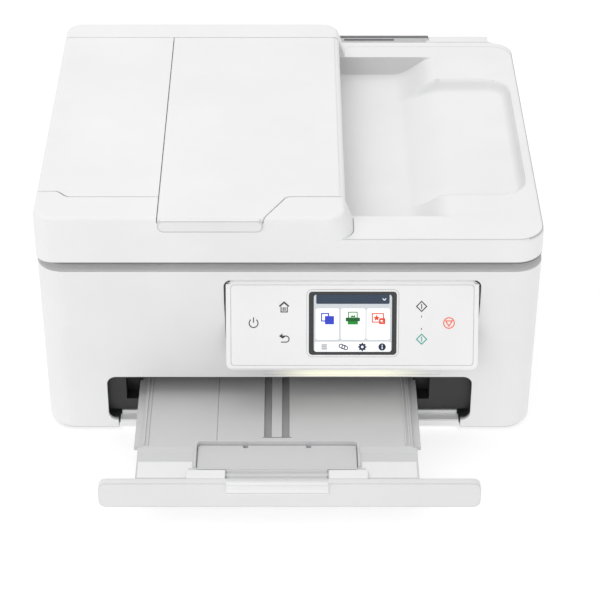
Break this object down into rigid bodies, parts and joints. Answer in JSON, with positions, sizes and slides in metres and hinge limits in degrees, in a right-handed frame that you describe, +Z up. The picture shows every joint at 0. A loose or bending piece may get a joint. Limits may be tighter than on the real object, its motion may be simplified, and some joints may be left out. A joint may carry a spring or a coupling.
{
  "type": "inkjet printer",
  "caption": "White desktop inkjet printer with flatbed scanner, document feeder, tilting touch panel and pull-out trays.",
  "frame": {"origin": "centre of the case footprint on the plane of the feet", "axes": "+X to the right seen from the front, +Y to the rear, +Z up"},
  "size_m": [0.377, 0.4784, 0.194],
  "materials": {
    "white_plastic": "fine matte texture",
    "light_grey_plastic": "fine matte texture",
    "mid_grey_plastic": "matte",
    "dark_plastic": "matte",
    "black_plastic": "matte",
    "rubber": "matte",
    "steel": "satin",
    "glass": "clear",
    "clear_film": "clear",
    "screen": "glossy",
    "diffuser": "translucent",
    "sheet": "soft white",
    "felt": "felt",
    "board": "solder resist"
  },
  "bodies": {
    "case": {"main_case": "white_plastic", "base_pan": "mid_grey_plastic", "rubber_feet": "rubber", "rear_cover": "white_plastic", "opening_liner": "black_plastic", "light_bar": "diffuser", "side_frames": "steel", "carriage_rail": "steel", "paper_platen": "dark_plastic", "paper_turn_guide": "dark_plastic", "pinch_holder": "dark_plastic", "star_wheel_holder": "dark_plastic", "purge_unit": "dark_plastic", "ink_absorber": "felt", "feed_motor": "steel", "carriage_motor": "steel", "carriage_belt": "rubber", "encoder_strip": "clear_film", "main_board": "board", "power_supply": "dark_plastic"},
    "feed_roller": {"feed_roller": "steel", "feed_gear": "light_grey_plastic"},
    "exit_roller": {"exit_roller": "rubber", "exit_gear": "light_grey_plastic"},
    "idler": {"idler_gear": "light_grey_plastic"},
    "motor_pinion": {"motor_pinion": "steel"},
    "pinch_rollers": {"pinch_rollers": "rubber"},
    "print_carriage": {"carriage": "dark_plastic", "ink_cartridge_black": "black_plastic", "ink_cartridge_color": "mid_grey_plastic"},
    "lock_lever_black": {"lock_lever_black": "light_grey_plastic"},
    "lock_lever_color": {"lock_lever_color": "light_grey_plastic"},
    "drive_pulley": {"drive_pulley": "steel"},
    "tension_pulley": {"tension_pulley": "mid_grey_plastic"},
    "pickup_arm": {"pickup_arm": "mid_grey_plastic"},
    "pickup_roller": {"pickup_roller": "rubber"},
    "paper_drawer": {"paper_drawer": "white_plastic"},
    "drawer_guide_left": {"drawer_guide_left": "light_grey_plastic"},
    "drawer_guide_right": {"drawer_guide_right": "light_grey_plastic"},
    "output_tray": {"output_tray": "light_grey_plastic", "tray_front": "white_plastic"},
    "tray_extension": {"tray_extension": "light_grey_plastic"},
    "control_panel": {"panel_housing": "white_plastic", "panel_fascia": "white_plastic", "touch_screen": "screen"},
    "scanner": {"scanner_base": "white_plastic", "scanner_bezel": "white_plastic", "glass_panes": "glass", "scan_rail": "steel"},
    "scan_carriage": {"scan_carriage": "dark_plastic"},
    "upper_cover": {"cover_shell": "white_plastic", "cover_base": "light_grey_plastic", "pressing_sheet": "sheet", "document_outlet": "light_grey_plastic"},
    "turn_roller": {"turn_roller": "rubber"},
    "pick_roller": {"pick_roller": "rubber"},
    "feeder_cover": {"feeder_cover": "white_plastic"},
    "document_tray": {"document_tray": "white_plastic"},
    "document_guide_front": {"document_guide_front": "light_grey_plastic"},
    "document_guide_rear": {"document_guide_rear": "light_grey_plastic"}
  },
  "joints": [
    {"name": "scanner_hinge", "type": "hinge", "parent": "case", "child": "scanner", "pos_m": [0, 0.16, 0.1465], "axis": [-1, 0, 0], "range_deg": [0, 30]},
    {"name": "scan_carriage_slide", "type": "slide", "parent": "scanner", "child": "scan_carriage", "axis": [1, 0, 0], "range_m": [0, 0.295]},
    {"name": "cover_hinge", "type": "hinge", "parent": "scanner", "child": "upper_cover", "pos_m": [0, 0.147, 0.1585], "axis": [-1, 0, 0], "range_deg": [0, 65]},
    {"name": "feeder_cover_hinge", "type": "hinge", "parent": "upper_cover", "child": "feeder_cover", "pos_m": [-0.1862, 0, 0.1865], "axis": [0, -1, 0], "range_deg": [0, 90]},
    {"name": "document_tray_hinge", "type": "hinge", "parent": "upper_cover", "child": "document_tray", "pos_m": [0.0375, 0, 0.1896], "axis": [0, 1, 0], "range_deg": [0, 150]},
    {"name": "document_guide_slide", "type": "slide", "parent": "document_tray", "child": "document_guide_front", "axis": [0, 1, 0], "range_m": [0, 0.05]},
    {"name": "document_guide_rear_slide", "type": "slide", "parent": "document_tray", "child": "document_guide_rear", "axis": [0, 1, 0], "range_m": [-0.05, 0]},
    {"name": "turn_roller_spin", "type": "hinge", "parent": "upper_cover", "child": "turn_roller", "pos_m": [-0.16, 0, 0.1722], "axis": [0, 1, 0], "continuous": true},
    {"name": "pick_roller_spin", "type": "hinge", "parent": "upper_cover", "child": "pick_roller", "pos_m": [-0.1165, 0, 0.1805], "axis": [0, 1, 0], "continuous": true},
    {"name": "panel_tilt", "type": "hinge", "parent": "case", "child": "control_panel", "pos_m": [0, -0.178, 0.1348], "axis": [-1, 0, 0], "range_deg": [-24, 21]},
    {"name": "output_tray_slide", "type": "slide", "parent": "case", "child": "output_tray", "axis": [0, 1, 0], "range_m": [0, 0.11]},
    {"name": "extension_hinge", "type": "hinge", "parent": "output_tray", "child": "tray_extension", "pos_m": [0, -0.28, 0.032], "axis": [1, 0, 0], "range_deg": [0, 140]},
    {"name": "drawer_slide", "type": "slide", "parent": "case", "child": "paper_drawer", "axis": [0, -1, 0], "range_m": [0, 0.2]},
    {"name": "drawer_guide_slide", "type": "slide", "parent": "paper_drawer", "child": "drawer_guide_right", "axis": [-1, 0, 0], "range_m": [0, 0.055]},
    {"name": "drawer_guide_left_slide", "type": "slide", "parent": "paper_drawer", "child": "drawer_guide_left", "axis": [1, 0, 0], "range_m": [0, 0.055]},
    {"name": "feed_roller_spin", "type": "hinge", "parent": "case", "child": "feed_roller", "pos_m": [0, -0.045, 0.0555], "axis": [1, 0, 0], "continuous": true},
    {"name": "idler_spin", "type": "hinge", "parent": "case", "child": "idler", "pos_m": [0, -0.0762, 0.0555], "axis": [1, 0, 0], "continuous": true},
    {"name": "exit_roller_spin", "type": "hinge", "parent": "case", "child": "exit_roller", "pos_m": [0, -0.105, 0.0555], "axis": [1, 0, 0], "continuous": true},
    {"name": "motor_pinion_spin", "type": "hinge", "parent": "case", "child": "motor_pinion", "pos_m": [0, -0.018, 0.0399], "axis": [1, 0, 0], "continuous": true},
    {"name": "pinch_roller_spin", "type": "hinge", "parent": "case", "child": "pinch_rollers", "pos_m": [0, -0.043, 0.06415], "axis": [1, 0, 0], "continuous": true},
    {"name": "carriage_slide", "type": "slide", "parent": "case", "child": "print_carriage", "axis": [-1, 0, 0], "range_m": [0, 0.252]},
    {"name": "lock_lever_black_hinge", "type": "hinge", "parent": "print_carriage", "child": "lock_lever_black", "pos_m": [0, -0.104, 0.104], "axis": [1, 0, 0], "range_deg": [0, 25]},
    {"name": "lock_lever_color_hinge", "type": "hinge", "parent": "print_carriage", "child": "lock_lever_color", "pos_m": [0, -0.104, 0.104], "axis": [1, 0, 0], "range_deg": [0, 25]},
    {"name": "drive_pulley_spin", "type": "hinge", "parent": "case", "child": "drive_pulley", "pos_m": [-0.158, 0, 0.095], "axis": [0, 1, 0], "range_deg": [0, 2500]},
    {"name": "tension_pulley_spin", "type": "hinge", "parent": "case", "child": "tension_pulley", "pos_m": [0.158, 0, 0.095], "axis": [0, 1, 0], "range_deg": [0, 2500]},
    {"name": "pickup_arm_hinge", "type": "hinge", "parent": "case", "child": "pickup_arm", "pos_m": [0, 0.045, 0.038], "axis": [1, 0, 0], "range_deg": [0, 8]},
    {"name": "pickup_roller_spin", "type": "hinge", "parent": "pickup_arm", "child": "pickup_roller", "pos_m": [0, 0.092, 0.0174], "axis": [1, 0, 0], "continuous": true}
  ],
  "couplings": [
    {"joint": "document_guide_rear_slide", "follows": "document_guide_slide", "ratio": -1},
    {"joint": "pick_roller_spin", "follows": "turn_roller_spin", "ratio": -1.4444},
    {"joint": "drawer_guide_left_slide", "follows": "drawer_guide_slide", "ratio": 1},
    {"joint": "idler_spin", "follows": "feed_roller_spin", "ratio": -3.3333},
    {"joint": "exit_roller_spin", "follows": "feed_roller_spin", "ratio": 1.1111},
    {"joint": "motor_pinion_spin", "follows": "feed_roller_spin", "ratio": -3.3333},
    {"joint": "pinch_roller_spin", "follows": "feed_roller_spin", "ratio": -1.8333},
    {"joint": "drive_pulley_spin", "follows": "carriage_slide", "rad_per_m": 151},
    {"joint": "tension_pulley_spin", "follows": "carriage_slide", "rad_per_m": 151}
  ]
}
